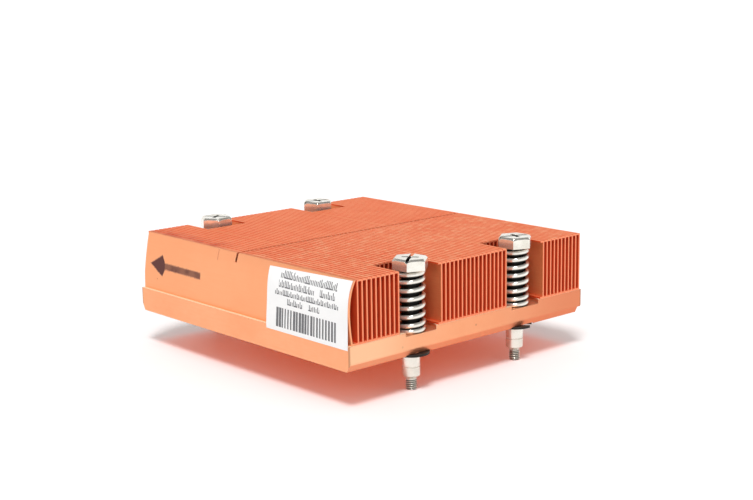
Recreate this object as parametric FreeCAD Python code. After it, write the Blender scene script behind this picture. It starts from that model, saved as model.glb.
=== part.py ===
"""Passive server CPU heatsink: copper base plate, folded-fin stack and four captive spring screws.

Frame: millimetres. The origin is the centre of the contact face under the base plate.
+X runs along the fins, from the front end to the rear end. +Y runs across the fins, from the
label side to the plain side. +Z points up, from the processor to the fin tops.
"""
import FreeCAD, Part
import math
import os

from FreeCAD import Vector

# ---------------------------------------------------------------- driving dimensions
# base plate
BASE_LENGTH = 88.9            # along X
BASE_THICKNESS = 6.4
END_BEVEL_INSET = 1.0         # steep bevel under both ends of the plate
END_BEVEL_HEIGHT = 2.0
SIDE_REBATE_DEPTH = 1.1       # step under the plain side
SIDE_REBATE_HEIGHT = 1.6
LABEL_SIDE_MARGIN = 3.1       # from the plate's label side to the first folded fin's web
PLAIN_SIDE_MARGIN = 0.7       # from the last fin's web to the plate's plain side

# folded fins
FIN_PITCH = 1.455
FIN_THICKNESS = 0.45
FIN_HEIGHT = 15.7
FIN_FOLD_RADIUS = 0.4         # outside radius of the top folds; solder fills the lower ones
FIN_END_INSET = 0.15          # fin ends stand this far inside the ends of the plate
FIN_SEAM_GAP = 0.02           # between a flange and the web it meets
LABEL_BANK_FINS = 10          # full-length fins from the label side to the first notch
MIDDLE_BANK_FINS = 17
PLAIN_BANK_FINS = 11
NOTCH_FINS = 9                # shortened fins at each pair of screws
NOTCH_CLEARANCE = 1.5         # between a screw head and the shortened fins

# interlock cuts: a slot in the top edge of every sheet, and a slit in the end plate
LOCK_SLOT_X = -1.5
LOCK_SLOT_WIDTH = 0.8
LOCK_SLOT_DEPTH = 2.4
LOCK_SLIT_X = -9.6
LOCK_SLIT_WIDTH = 0.2
LOCK_SLIT_DEPTH = 3.0

# end plate: the flat outermost sheet on the label side, bowed by handling
END_PLATE_SETBACK = 0.9       # from the base plate's label side to the sheet's outer face
REAR_BULGE = 0.75             # outward bow at the rear end
REAR_LEAN = 1.25              # inward lean of the top edge at the rear end
FRONT_LEAN = 1.45             # inward lean of the top edge at the front end
FRONT_CORNER_TAPER = 1.0      # the front edge's loss of length at the top
FRONT_CORNER_DROP = 11.0      # height over which it is lost

# paper label on the end plate
LABEL_LENGTH = 31.2
LABEL_REAR_GAP = 0.25         # from the label to the end plate's rear edge
LABEL_TOP_GAP = 0.15
LABEL_FRONT_DROP = 0.9        # the top edge falls this far towards the label's front end
LABEL_LAP = 1.0               # overlap down the side of the base plate
LABEL_THICKNESS = 0.12
LABEL_GLUE_GAP = 0.03

# captive screws
SCREW_INSET = 3.8             # from the ends of the base plate to the screw axes
SHANK_DIAMETER = 4.6
SHANK_HOLE_CLEARANCE = 0.3    # radial
SHANK_BELOW_BASE = 5.9
SHANK_TAPER = 0.9
THREAD_DIAMETER = 3.0
THREAD_LENGTH = 2.9
THREAD_CHAMFER = 0.4
HEAD_ACROSS_FLATS = 8.2
HEAD_HEIGHT = 3.0
HEAD_CHAMFER_ANGLE = 35.0     # degrees below the flat top
HEAD_TOP_SHARE = 0.92         # flat top's diameter over the width across flats
HEAD_RISE = 1.9               # head's top above the fin tops
RECESS_DIAMETER = 4.4         # cross recess
RECESS_DEPTH = 1.7
RECESS_ARM = 0.95
RECESS_FLOOR_SHARE = 0.45
SLOT_WIDTH = 0.9              # screwdriver slot across the head
SLOT_DEPTH = 0.8

# springs
SPRING_WIRE = 1.25
SPRING_SHANK_CLEARANCE = 0.25  # radial, between wire and shank
SPRING_COILS = 8.0
SPRING_CLOSED_TURNS = 1.0     # at each end
SPRING_GROUND_SHARE = 0.35    # share of the wire ground flat at each end
SPRING_CLOSED_PITCH = 1.04    # pitch of the closed turns over the wire's thickness
SPRING_END_GAP = 0.02
SPRING_STEPS = 10             # straight steps a turn
SPRING_SIDES = 6              # flats round the wire
SEAT_DEPTH = 1.0              # spring seat sunk in the base plate's top
SEAT_CLEARANCE = 2.6          # radial, round the spring

# retaining rings, snapped into a groove in each shank under the base plate
RING_DIAMETER = 9.4
RING_THICKNESS = 0.6
RING_GROOVE_DEPTH = 0.4
RING_RECESS_DEPTH = 0.3       # spot face under the plate that the ring lies in
RING_RECESS_CLEARANCE = 0.4   # radial
RING_RUNNING_GAP = 0.05       # radial and axial, between ring and groove
RING_SEAT_GAP = 0.02
RING_BAND = 1.5               # radial width of the ring's arch
RING_LUG_WIDTH = 1.7
RING_MOUTH_WIDTH = 3.4

# ---------------------------------------------------------------- worked-out places
FOLDED_FINS = LABEL_BANK_FINS + MIDDLE_BANK_FINS + PLAIN_BANK_FINS + 2 * NOTCH_FINS
STACK_DEPTH = (FOLDED_FINS - 1) * FIN_PITCH
BASE_WIDTH = LABEL_SIDE_MARGIN + STACK_DEPTH + PLAIN_SIDE_MARGIN
LABEL_SIDE_Y = -BASE_WIDTH / 2
PLAIN_SIDE_Y = BASE_WIDTH / 2
FIRST_FIN_Y = LABEL_SIDE_Y + LABEL_SIDE_MARGIN
FIN_BOTTOM = BASE_THICKNESS
FIN_TOP = BASE_THICKNESS + FIN_HEIGHT
FIN_END_X = BASE_LENGTH / 2 - FIN_END_INSET

HEAD_CORNER_RADIUS = HEAD_ACROSS_FLATS / math.sqrt(3)
HEAD_TOP = FIN_TOP + HEAD_RISE
HEAD_BOTTOM = HEAD_TOP - HEAD_HEIGHT
SHANK_RADIUS = SHANK_DIAMETER / 2
SCREW_X = BASE_LENGTH / 2 - SCREW_INSET
NOTCH_DEPTH = SCREW_INSET - FIN_END_INSET + HEAD_CORNER_RADIUS + NOTCH_CLEARANCE

NOTCH_CENTRE = (NOTCH_FINS - 1) / 2
LABEL_SCREW_Y = FIRST_FIN_Y + (LABEL_BANK_FINS + NOTCH_CENTRE) * FIN_PITCH
PLAIN_SCREW_Y = FIRST_FIN_Y + FIN_PITCH * (
    LABEL_BANK_FINS + NOTCH_FINS + MIDDLE_BANK_FINS + NOTCH_CENTRE
)

SEAT_Z = BASE_THICKNESS - SEAT_DEPTH
SPRING_RADIUS = SHANK_RADIUS + SPRING_SHANK_CLEARANCE + SPRING_WIRE / 2
SPRING_BOTTOM = SEAT_Z + SPRING_END_GAP
SPRING_TOP = HEAD_BOTTOM - SPRING_END_GAP
SEAT_RADIUS = SPRING_RADIUS + SPRING_WIRE / 2 + SEAT_CLEARANCE

RING_TOP = RING_RECESS_DEPTH - RING_SEAT_GAP
RING_BOTTOM = RING_TOP - RING_THICKNESS
GROOVE_RADIUS = SHANK_RADIUS - RING_GROOVE_DEPTH
THREAD_TOP = -SHANK_BELOW_BASE - SHANK_TAPER
SCREW_TIP = THREAD_TOP - THREAD_LENGTH

# name, X, Y, turn of the driver recess, turn of the spring and the ring, all in degrees
SCREW_PLACES = [
    ("front_label_side", -SCREW_X, LABEL_SCREW_Y, 35.0, 140.0),
    ("rear_label_side", SCREW_X, LABEL_SCREW_Y, 127.0, 259.0),
    ("front_plain_side", -SCREW_X, PLAIN_SCREW_Y, 80.0, 250.0),
    ("rear_plain_side", SCREW_X, PLAIN_SCREW_Y, 68.0, 215.0),
]


# ---------------------------------------------------------------- small helpers
def box(x0, x1, y0, y1, z0, z1):
    """A box between two corners."""
    return Part.makeBox(x1 - x0, y1 - y0, z1 - z0, Vector(x0, y0, z0))


def cylinder(radius, z0, z1, x=0.0, y=0.0):
    """An upright cylinder."""
    return Part.makeCylinder(radius, z1 - z0, Vector(x, y, z0))


def prism(corners, direction):
    """A flat polygon pushed along a direction."""
    wire = Part.makePolygon([Vector(*c) for c in corners + corners[:1]])
    return Part.Face(wire).extrude(Vector(*direction))


def smooth_curve(points):
    """One smooth edge through points."""
    curve = Part.BSplineCurve()
    curve.interpolate([Vector(*p) for p in points])
    return curve.toShape()


def save(name, shape):
    """Write one node, as one solid or as a group of separate solids."""
    if len(shape.Solids) == 1:
        shape = shape.Solids[0]
    shape.exportStep(f"parts/{name}.step")
    print(f"{name}: {len(shape.Solids)} solid(s), {shape.Volume:.1f} mm3, valid {shape.isValid()}")


# ---------------------------------------------------------------- base plate
def base_plate():
    """Thick plate with bevelled ends, a rebated plain side, spring seats and screw holes."""
    half = BASE_LENGTH / 2
    outline = [
        (-half + END_BEVEL_INSET, LABEL_SIDE_Y, 0),
        (half - END_BEVEL_INSET, LABEL_SIDE_Y, 0),
        (half, LABEL_SIDE_Y, END_BEVEL_HEIGHT),
        (half, LABEL_SIDE_Y, BASE_THICKNESS),
        (-half, LABEL_SIDE_Y, BASE_THICKNESS),
        (-half, LABEL_SIDE_Y, END_BEVEL_HEIGHT),
    ]
    plate = prism(outline, (0, BASE_WIDTH, 0))
    rebate = box(-half - 1, half + 1, PLAIN_SIDE_Y - SIDE_REBATE_DEPTH, PLAIN_SIDE_Y + 1,
                 -1, SIDE_REBATE_HEIGHT)
    cuts = [rebate]
    for _, x, y, _, _ in SCREW_PLACES:
        cuts.append(cylinder(SHANK_RADIUS + SHANK_HOLE_CLEARANCE, -1, BASE_THICKNESS + 1, x, y))
        cuts.append(cylinder(SEAT_RADIUS, SEAT_Z, BASE_THICKNESS + 1, x, y))
        cuts.append(cylinder(RING_DIAMETER / 2 + RING_RECESS_CLEARANCE, -1,
                             RING_RECESS_DEPTH, x, y))
    return plate.cut(cuts)


# ---------------------------------------------------------------- folded fins
def lock_cut(x, width, depth):
    """An interlock cut, down into the top edges of all the sheets."""
    return box(x - width / 2, x + width / 2, LABEL_SIDE_Y - 1, PLAIN_SIDE_Y + 1,
               FIN_TOP - depth, FIN_TOP + 1)


def folded_fin(y, notched, top_flange=True):
    """One sheet with a foot and a top flange folded towards the label side."""
    back = y + FIN_THICKNESS / 2
    front = y - FIN_THICKNESS / 2
    tip = back - FIN_PITCH + FIN_SEAM_GAP
    x0 = -FIN_END_X + (NOTCH_DEPTH if notched else 0)
    x1 = FIN_END_X - (NOTCH_DEPTH if notched else 0)

    def at(y, z):
        return Vector(x0, y, z)

    if top_flange:
        r = FIN_FOLD_RADIUS
        bend = r * (1 - math.sqrt(0.5))
        fold_start, fold_end = at(back, FIN_TOP - r), at(back - r, FIN_TOP)
        fold = Part.Arc(fold_start, at(back - bend, FIN_TOP - bend), fold_end).toShape()
        top = [
            fold_end,
            at(tip, FIN_TOP),
            at(tip, FIN_TOP - FIN_THICKNESS),
            at(front, FIN_TOP - FIN_THICKNESS),
        ]
    else:
        fold_start, fold_end = at(back, FIN_TOP), at(front, FIN_TOP)
        fold = Part.makeLine(fold_start, fold_end)
        top = [fold_end]
    corners = top + [
        at(front, FIN_BOTTOM + FIN_THICKNESS),
        at(tip, FIN_BOTTOM + FIN_THICKNESS),
        at(tip, FIN_BOTTOM),
        at(back, FIN_BOTTOM),
        fold_start,
    ]
    edges = [fold] + [Part.makeLine(a, b) for a, b in zip(corners, corners[1:])]
    sheet = Part.Face(Part.Wire(edges)).extrude(Vector(x1 - x0, 0, 0))
    return sheet.cut(lock_cut(LOCK_SLOT_X, LOCK_SLOT_WIDTH, LOCK_SLOT_DEPTH))


def fin_nodes():
    """Full-length fins by name, and the shortened fins of each notch as one group."""
    nodes = {}
    index = 0
    banks = [
        ("label_bank_fin", LABEL_BANK_FINS, False),
        ("label_notch_fins", NOTCH_FINS, True),
        ("middle_bank_fin", MIDDLE_BANK_FINS, False),
        ("plain_notch_fins", NOTCH_FINS, True),
        ("plain_bank_fin", PLAIN_BANK_FINS, False),
    ]
    for bank, count, notched in banks:
        fins = []
        for _ in range(count):
            # the end plate leans on the first fin, where the flange is crushed flat
            fins.append(folded_fin(FIRST_FIN_Y + index * FIN_PITCH, notched, index > 0))
            index += 1
        if notched:
            nodes[bank] = Part.makeCompound(fins)
        else:
            for number, fin in enumerate(fins, 1):
                nodes[f"{bank}_{number:02d}"] = fin
    return nodes


# ---------------------------------------------------------------- end plate and label
def bow(z, along):
    """Outward bow of the end plate at a height; along is 0 at its front end and 1 at its rear."""
    u = min(max((z - FIN_BOTTOM) / FIN_HEIGHT, 0.0), 1.0)
    rear = REAR_BULGE * math.sin(math.pi * u) - REAR_LEAN * u**6
    front = -FRONT_LEAN * u**1.8
    return (1 - along) * front + along * rear


def sheet_between(x0, x1, face_at, heights, thickness):
    """A bowed sheet lofted between two sections. face_at(x, z) is its outer face's Y."""
    sections = []
    for x in (x0, x1):
        outer = [(x, face_at(x, z), z) for z in heights]
        inner = [(x, y + thickness, z) for x, y, z in outer]
        sections.append(Part.Wire([
            smooth_curve(outer),
            Part.makeLine(Vector(*outer[-1]), Vector(*inner[-1])),
            smooth_curve(inner[::-1]),
            Part.makeLine(Vector(*inner[0]), Vector(*outer[0])),
        ]))
    return Part.makeLoft(sections, True, True)


def plate_face(x, z):
    """The end plate's outer face."""
    along = (x + FIN_END_X) / (2 * FIN_END_X)
    return LABEL_SIDE_Y + END_PLATE_SETBACK - bow(z, along)


def end_plate():
    """The bowed outermost sheet, with its foot folded in to meet the first fin's foot."""
    heights = [FIN_BOTTOM + FIN_HEIGHT * k / 4 for k in range(5)]
    sheet = sheet_between(-FIN_END_X, FIN_END_X, plate_face, heights, FIN_THICKNESS)
    middle = LABEL_SIDE_Y + END_PLATE_SETBACK + FIN_THICKNESS / 2
    first_foot = FIRST_FIN_Y + FIN_THICKNESS / 2 - FIN_PITCH
    foot = box(-FIN_END_X, FIN_END_X, middle, first_foot, FIN_BOTTOM, FIN_BOTTOM + FIN_THICKNESS)
    corner = prism([
        (-FIN_END_X, LABEL_SIDE_Y - 1, FIN_TOP - FRONT_CORNER_DROP),
        (-FIN_END_X + FRONT_CORNER_TAPER, LABEL_SIDE_Y - 1, FIN_TOP + 0.01),
        (-FIN_END_X - 1, LABEL_SIDE_Y - 1, FIN_TOP + 0.01),
        (-FIN_END_X - 1, LABEL_SIDE_Y - 1, FIN_TOP - FRONT_CORNER_DROP),
    ], (0, LABEL_SIDE_MARGIN + 1, 0))
    cuts = [
        corner,
        lock_cut(LOCK_SLOT_X, LOCK_SLOT_WIDTH, LOCK_SLOT_DEPTH),
        lock_cut(LOCK_SLIT_X, LOCK_SLIT_WIDTH, LOCK_SLIT_DEPTH),
    ]
    return sheet.fuse(foot).cut(cuts).removeSplitter()


def label_face(x, z):
    """The paper's inner face: down the bowed sheet, then straight to the base plate's side."""
    base_side = LABEL_SIDE_Y
    middle = FIN_BOTTOM + FIN_HEIGHT / 2
    if z >= middle:
        return plate_face(x, z) - LABEL_GLUE_GAP
    share = max((z - FIN_BOTTOM) / (middle - FIN_BOTTOM), 0.0)
    bridge = base_side + share * (plate_face(x, middle) - base_side)
    return min(bridge, plate_face(x, z)) - LABEL_GLUE_GAP


def paper_label():
    """A paper sticker over the rear third of the end plate."""
    x1 = FIN_END_X - LABEL_REAR_GAP
    x0 = x1 - LABEL_LENGTH
    bottom = FIN_BOTTOM - LABEL_LAP
    top = FIN_TOP - LABEL_TOP_GAP
    heights = [bottom, FIN_BOTTOM] + [FIN_BOTTOM + (top - FIN_BOTTOM) * k / 4 for k in range(1, 5)]
    sheet = sheet_between(x0, x1, lambda x, z: label_face(x, z) - LABEL_THICKNESS,
                          heights, LABEL_THICKNESS)
    above_top_edge = prism([
        (x0 - 1, LABEL_SIDE_Y - 1, top - LABEL_FRONT_DROP),
        (x0, LABEL_SIDE_Y - 1, top - LABEL_FRONT_DROP),
        (x1, LABEL_SIDE_Y - 1, top),
        (x1 + 1, LABEL_SIDE_Y - 1, top + 1),
        (x0 - 1, LABEL_SIDE_Y - 1, top + 1),
    ], (0, LABEL_SIDE_MARGIN + 1, 0))
    return sheet.cut(above_top_edge)


# ---------------------------------------------------------------- captive screws
def hex_head():
    """Hexagon with its top corners turned off by a cone."""
    corners = [
        (HEAD_CORNER_RADIUS * math.cos(math.radians(60 * k)),
         HEAD_CORNER_RADIUS * math.sin(math.radians(60 * k)), HEAD_BOTTOM)
        for k in range(6)
    ]
    head = prism(corners, (0, 0, HEAD_HEIGHT))
    flat_radius = HEAD_TOP_SHARE * HEAD_ACROSS_FLATS / 2
    spread = HEAD_HEIGHT / math.tan(math.radians(HEAD_CHAMFER_ANGLE))
    cone = Part.makeCone(flat_radius + spread, flat_radius, HEAD_HEIGHT, Vector(0, 0, HEAD_BOTTOM))
    return head.common(cone)


def driver_recess():
    """A cross recess narrowing to its floor, with a screwdriver slot through it."""
    r = RECESS_DIAMETER / 2
    floor_r = r * RECESS_FLOOR_SHARE
    floor = HEAD_TOP - RECESS_DEPTH
    arm = prism([
        (-floor_r, -RECESS_ARM / 2, floor),
        (floor_r, -RECESS_ARM / 2, floor),
        (r, -RECESS_ARM / 2, HEAD_TOP),
        (-r, -RECESS_ARM / 2, HEAD_TOP),
    ], (0, RECESS_ARM, 0))
    cross_arm = arm.copy()
    cross_arm.rotate(Vector(0, 0, 0), Vector(0, 0, 1), 90)
    slot = box(-HEAD_ACROSS_FLATS, HEAD_ACROSS_FLATS, -SLOT_WIDTH / 2, SLOT_WIDTH / 2,
               HEAD_TOP - SLOT_DEPTH, HEAD_TOP + 1)
    return arm.fuse([cross_arm, slot])


def captive_screw():
    """Shank with a ring groove, tapered down to the thread, under a hex head."""
    groove_top = RING_TOP + RING_RUNNING_GAP
    groove_bottom = RING_BOTTOM - RING_RUNNING_GAP
    thread_radius = THREAD_DIAMETER / 2
    shank_end = -SHANK_BELOW_BASE
    profile = [
        (0, HEAD_BOTTOM + HEAD_HEIGHT / 4),
        (SHANK_RADIUS, HEAD_BOTTOM + HEAD_HEIGHT / 4),
        (SHANK_RADIUS, groove_top),
        (GROOVE_RADIUS, groove_top),
        (GROOVE_RADIUS, groove_bottom),
        (SHANK_RADIUS, groove_bottom),
        (SHANK_RADIUS, shank_end),
        (thread_radius, THREAD_TOP),
        (thread_radius, SCREW_TIP + THREAD_CHAMFER),
        (thread_radius - THREAD_CHAMFER, SCREW_TIP),
        (0, SCREW_TIP),
    ]
    points = [Vector(r, 0, z) for r, z in profile + profile[:1]]
    shank = Part.Face(Part.makePolygon(points)).revolve(Vector(0, 0, 0), Vector(0, 0, 1), 360)
    return hex_head().fuse(shank).removeSplitter().cut(driver_recess())


# ---------------------------------------------------------------- springs
def spring_height(turn):
    """Height of the wire's centre after so many turns: close coils, open coils, close coils."""
    ground = SPRING_WIRE * SPRING_GROUND_SHARE
    rise = SPRING_TOP - SPRING_BOTTOM - SPRING_WIRE + 2 * ground
    closed_pitch = SPRING_WIRE * SPRING_CLOSED_PITCH
    open_turns = SPRING_COILS - 2 * SPRING_CLOSED_TURNS
    open_pitch = (rise - 2 * SPRING_CLOSED_TURNS * closed_pitch) / open_turns
    closed_below = min(turn, SPRING_CLOSED_TURNS)
    closed_above = max(turn - SPRING_COILS + SPRING_CLOSED_TURNS, 0.0)
    opened = turn - closed_below - closed_above
    start = SPRING_BOTTOM + SPRING_WIRE / 2 - ground
    return start + closed_pitch * (closed_below + closed_above) + open_pitch * opened


def spring():
    """Wire coiled right-handed in short straight steps, with closed and ground ends."""
    points = []
    for k in range(int(SPRING_COILS * SPRING_STEPS) + 1):
        angle = 2 * math.pi * k / SPRING_STEPS
        points.append(Vector(SPRING_RADIUS * math.cos(angle), SPRING_RADIUS * math.sin(angle),
                             spring_height(k / SPRING_STEPS)))
    side_angle = 2 * math.pi / SPRING_SIDES
    # the flat-sided section keeps the round wire's area
    corner_radius = SPRING_WIRE / 2 * math.sqrt(side_angle / math.sin(side_angle))
    section = []
    for k in range(SPRING_SIDES):
        angle = side_angle * k
        section.append(points[0] + Vector(corner_radius * math.cos(angle), 0,
                                          corner_radius * math.sin(angle)))
    path = Part.makePolygon(points)
    mitred = 1
    wire = path.makePipeShell([Part.makePolygon(section + section[:1])], True, True, mitred)
    keep = cylinder(SPRING_RADIUS + 2 * SPRING_WIRE, SPRING_BOTTOM, SPRING_TOP)
    return wire.common(keep)


# ---------------------------------------------------------------- retaining rings
def retaining_ring():
    """E-shaped ring: an open arch with three lugs that reach into the groove."""
    outer = RING_DIAMETER / 2
    arch = cylinder(outer, RING_BOTTOM, RING_TOP).cut(
        cylinder(outer - RING_BAND, RING_BOTTOM, RING_TOP))
    lugs = []
    for angle in (0, 120, 240):
        lug = box(0, outer - RING_BAND / 2, -RING_LUG_WIDTH / 2, RING_LUG_WIDTH / 2,
                  RING_BOTTOM, RING_TOP)
        lug.rotate(Vector(0, 0, 0), Vector(0, 0, 1), angle)
        lugs.append(lug)
    mouth = box(-outer - 1, 0, -RING_MOUTH_WIDTH / 2, RING_MOUTH_WIDTH / 2,
                RING_BOTTOM - 1, RING_TOP + 1)
    bore = cylinder(GROOVE_RADIUS + RING_RUNNING_GAP, RING_BOTTOM - 1, RING_TOP + 1)
    return arch.fuse(lugs).removeSplitter().cut([mouth, bore])


# ---------------------------------------------------------------- assembly
def placed(shape, x, y, turn):
    """A copy turned about its own axis and moved to a screw's place."""
    copy = shape.copy()
    copy.rotate(Vector(0, 0, 0), Vector(0, 0, 1), turn)
    copy.translate(Vector(x, y, 0))
    return copy


def main():
    os.makedirs("parts", exist_ok=True)
    save("base_plate", base_plate())
    save("end_plate", end_plate())
    save("paper_label", paper_label())
    for name, shape in fin_nodes().items():
        save(name, shape)
    screw = captive_screw()
    coil = spring()
    ring = retaining_ring()
    for place, x, y, driver_turn, spring_turn in SCREW_PLACES:
        save(f"captive_screw_{place}", placed(screw, x, y, driver_turn))
        save(f"screw_spring_{place}", placed(coil, x, y, spring_turn))
        save(f"retaining_ring_{place}", placed(ring, x, y, spring_turn))


main()
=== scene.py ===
# %% [markdown]
# # A passive heatsink for a server processor
#
# This lesson dresses a packed engineering model in Blender. The real thing is a thick copper plate
# with a stack of thin folded copper sheets soldered on it, a paper label, and four captive screws
# with springs. The engineering model already has every piece at its real size, so the lesson's work
# is finish: copper that looks handled, wire that looks wound, threads that look cut.
#
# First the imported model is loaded. Each of its nodes arrives as an object at the origin, with its
# place held in its mesh, so every size below is in metres in one shared frame: X runs along the
# fins, Y across them and Z up.

import math

import bmesh
import bpy
from mathutils import Matrix, Vector


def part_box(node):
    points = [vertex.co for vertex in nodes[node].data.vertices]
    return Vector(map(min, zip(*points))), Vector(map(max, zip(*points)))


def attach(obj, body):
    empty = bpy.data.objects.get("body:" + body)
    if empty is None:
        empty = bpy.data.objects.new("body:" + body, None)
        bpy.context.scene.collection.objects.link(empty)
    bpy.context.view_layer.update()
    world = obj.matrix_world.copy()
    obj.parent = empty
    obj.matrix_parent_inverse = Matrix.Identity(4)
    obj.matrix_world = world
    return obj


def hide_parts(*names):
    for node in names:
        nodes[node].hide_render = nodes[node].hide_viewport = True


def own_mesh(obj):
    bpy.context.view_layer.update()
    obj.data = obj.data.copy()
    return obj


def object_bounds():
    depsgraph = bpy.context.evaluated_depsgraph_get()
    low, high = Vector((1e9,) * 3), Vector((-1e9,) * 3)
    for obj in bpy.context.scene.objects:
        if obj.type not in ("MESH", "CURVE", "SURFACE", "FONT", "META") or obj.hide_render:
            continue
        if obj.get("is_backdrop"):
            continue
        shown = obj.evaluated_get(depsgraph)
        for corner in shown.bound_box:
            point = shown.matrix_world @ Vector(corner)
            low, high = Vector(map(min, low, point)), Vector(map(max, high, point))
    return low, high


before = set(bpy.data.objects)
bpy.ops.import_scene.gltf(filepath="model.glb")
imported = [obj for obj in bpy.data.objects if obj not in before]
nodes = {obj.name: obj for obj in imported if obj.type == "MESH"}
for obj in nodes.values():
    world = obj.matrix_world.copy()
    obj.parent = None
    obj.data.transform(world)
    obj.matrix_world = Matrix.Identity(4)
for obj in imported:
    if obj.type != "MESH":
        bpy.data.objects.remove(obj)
cad_low, cad_high = (Vector(corner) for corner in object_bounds())
cad_centre = (cad_low + cad_high) / 2
print("size in mm:", [round(1000 * s, 2) for s in cad_high - cad_low])

MM = 0.001

# %% [markdown]
# ## Where things are
#
# The fins, the base plate and the screws line up with each other, and the finish follows them: the
# label's print sits on the label, the arrow on the end plate, the springs between the heads and the
# plate. All those places are read from the boxes of the nodes instead of being typed in again.

# %% Read the boxes of the main pieces
base_low, base_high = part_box("base_plate")
plate_low, plate_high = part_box("end_plate")
label_low, label_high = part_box("paper_label")
PLACES = sorted(n[len("captive_screw_"):] for n in nodes if n.startswith("captive_screw_"))
fin_names = sorted(n for n in nodes if "_fin" in n)
print("screw places:", PLACES)
print(f"{len(fin_names)} fin nodes, fin tops at {1000 * plate_high.z:.2f} mm")

# %% [markdown]
# ## A few helpers for materials
#
# A material in Blender is a tree of small nodes, joined socket to socket. The helpers below add
# nodes and return their result, so that a finish reads from top to bottom like a sum. A socket
# knows its tree, so a helper that is given one adds its node to the same tree. Colours are in
# linear light, as red, green, blue and a fourth number, 1, for solid.


# %% Node helpers
def connect(value, socket):
    """Feeds an input: another node's socket is joined to it, and a constant is set on it."""
    if isinstance(value, bpy.types.NodeSocket):
        socket.id_data.links.new(value, socket)
    else:
        socket.default_value = value


def add_node(tree, kind, inputs=None, **settings):
    """A new shader node with its settings and inputs, returning its outputs."""
    node = tree.nodes.new("ShaderNode" + kind)
    for key, value in settings.items():
        setattr(node, key, value)
    for key, value in (inputs or {}).items():
        connect(value, node.inputs[key])
    return node.outputs


def maths(operation, *values, clamp=False):
    """A Math node on numbers or sockets, returning its output socket."""
    tree = next(v.id_data for v in values if isinstance(v, bpy.types.NodeSocket))
    inputs = dict(enumerate(values))
    return add_node(tree, "Math", inputs, operation=operation, use_clamp=clamp)[0]


def times(first, *others):
    """The product of several numbers and sockets."""
    for other in others:
        first = maths("MULTIPLY", first, other)
    return first


def distance_from(value, middle):
    """How far a value lies from a middle, on either side of it."""
    return maths("ABSOLUTE", maths("SUBTRACT", value, middle))


def ramp(value, low, high, out_low=0.0, out_high=1.0, smooth=True):
    """Maps a socket's value from low...high to out_low...out_high, held at both ends."""
    limits = {"From Min": low, "From Max": high, "To Min": out_low, "To Max": out_high}
    shape = "SMOOTHSTEP" if smooth else "LINEAR"
    return add_node(value.id_data, "MapRange", {"Value": value, **limits}, clamp=True,
                    interpolation_type=shape)["Result"]


def between(value, low, high, soft):
    """One where a socket's value lies between two limits, with soft sides."""
    rise = ramp(value, low - soft, low + soft)
    return times(rise, ramp(value, high - soft, high + soft, 1.0, 0.0))


def mix_colour(factor, first, second):
    """A mix of two colours. Among a Mix node's sockets, 6 and 7 are its colours, and out comes 2."""
    inputs = {0: factor, 6: first, 7: second}
    return add_node(factor.id_data, "Mix", inputs, data_type="RGBA")[2]


print("node helpers ready")


# %% Helpers that read the surface
FACED = 0.6, 0.8  # from not facing some way to facing it fully


def object_place(tree):
    """The place on the object in metres, as a vector."""
    return add_node(tree, "TexCoord")["Object"]


def parts_of(vector):
    """X, Y and Z of a vector."""
    return tuple(add_node(vector.id_data, "SeparateXYZ", {"Vector": vector}))


def facing(tree, normal="True Normal"):
    """The direction that the surface faces, as X, Y and Z from -1 to 1."""
    return parts_of(add_node(tree, "NewGeometry")[normal])


def noise(place, scale, detail=3.0, roughness=0.5):
    """Soft random values over the surface, from 0 to 1 and mostly near the middle."""
    inputs = {"Vector": place, "Scale": scale, "Detail": detail, "Roughness": roughness}
    return add_node(place.id_data, "TexNoise", inputs)["Fac"]


print("surface helpers ready")

# %% [markdown]
# ## Shared finishes as node groups
#
# Several materials need the same effects. Each one is built once as a shader node group with named
# inputs and outputs, and is then placed in every material with its own values.
#
# - `Tone drift` moves a colour a little lighter, darker or redder in soft clouds, as on copper that
#   has been handled and warmed.
# - `Rolled grain` makes fine streaks along one direction, as the mill leaves on rolled sheet.
# - `Worn edges` finds edges, where handling rubs metal bright; on copper the brighter edges are
#   also a painted highlight.
# - `Specks` scatters small marks, such as pits and dust.
#
# Their sizes go by metres in the shared frame, so the grain keeps its real scale on every piece.

# %% Helper that starts a node group
FLOAT, COLOUR, VECTOR = "NodeSocketFloat", "NodeSocketColor", "NodeSocketVector"


def new_group(name, inputs, outputs):
    """A shader node group with named sockets; returns its tree and the sockets at both ends."""
    tree = bpy.data.node_groups.new(name, "ShaderNodeTree")
    for socket, kind, value in inputs:
        made = tree.interface.new_socket(socket, in_out="INPUT", socket_type=kind)
        made.default_value = value
    for socket, kind in outputs:
        tree.interface.new_socket(socket, in_out="OUTPUT", socket_type=kind)
    start, end = tree.nodes.new("NodeGroupInput"), tree.nodes.new("NodeGroupOutput")
    return tree, start.outputs, end.inputs


print("group helper ready")


# %% Tone drift
FINER = 11.0
BROAD_SHARE, FINE_SHARE = 0.7, 0.3


def make_tone_drift():
    """Soft clouds that move a colour towards a second, often redder one."""
    tree, start, end = new_group(
        "Tone drift",
        [("Colour", COLOUR, (0.8, 0.4, 0.3, 1)), ("Second colour", COLOUR, (0.7, 0.3, 0.2, 1)),
         ("Scale", FLOAT, 40.0), ("Amount", FLOAT, 0.5)],
        [("Colour", COLOUR), ("Mask", FLOAT)],
    )
    place = object_place(tree)
    broad = noise(place, start["Scale"], 3.0, 0.55)
    fine = noise(place, times(start["Scale"], FINER), 5.0, 0.7)
    both = maths("ADD", times(ramp(broad, 0.35, 0.65), BROAD_SHARE),
                 times(ramp(fine, 0.35, 0.7), FINE_SHARE))
    mask = maths("MULTIPLY", both, start["Amount"], clamp=True)
    tone = mix_colour(mask, start["Colour"], start["Second colour"])
    connect(tone, end["Colour"])
    connect(mask, end["Mask"])
    return tree


tone_drift = make_tone_drift()
print("group:", tone_drift.name)


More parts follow.
